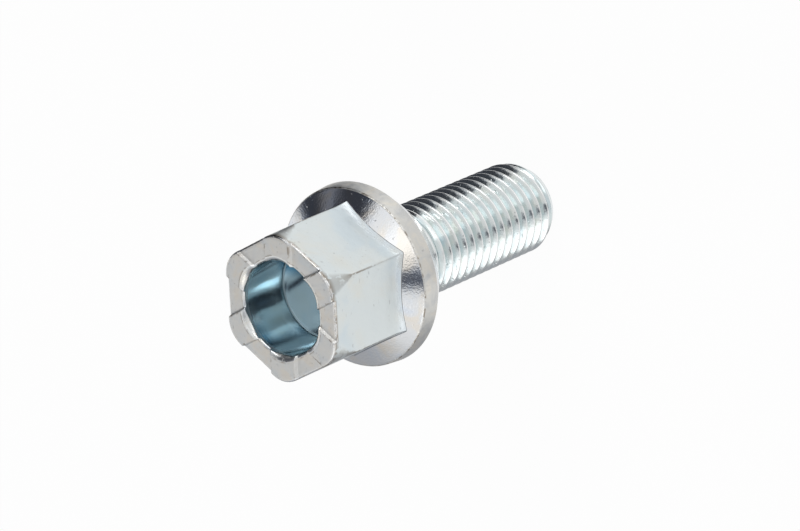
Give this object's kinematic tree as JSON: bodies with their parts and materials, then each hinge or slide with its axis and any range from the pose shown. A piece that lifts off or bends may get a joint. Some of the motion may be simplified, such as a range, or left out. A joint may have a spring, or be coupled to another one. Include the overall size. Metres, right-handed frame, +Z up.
{
  "type": "wheel bolt",
  "caption": "Forged wheel bolt with a hollow hexagon head, coned flange, ball seat and fine-threaded shank; clamps a road wheel to its hub.",
  "frame": {"origin": "on the bolt's axis, on the surface that its tip stands on", "axes": "+Z up along the bolt's axis, from tip to head; +X towards a corner of the hexagon and -Y square to one of its flats"},
  "size_m": [0.0232, 0.0232, 0.0474],
  "materials": {
    "zinc_plated_steel": "bright blue-clear zinc plating, mirror-like on the flange cone and satin on the end face and rim"
  },
  "bodies": {
    "root": {"wheel_bolt": "zinc_plated_steel"}
  },
  "joints": []
}
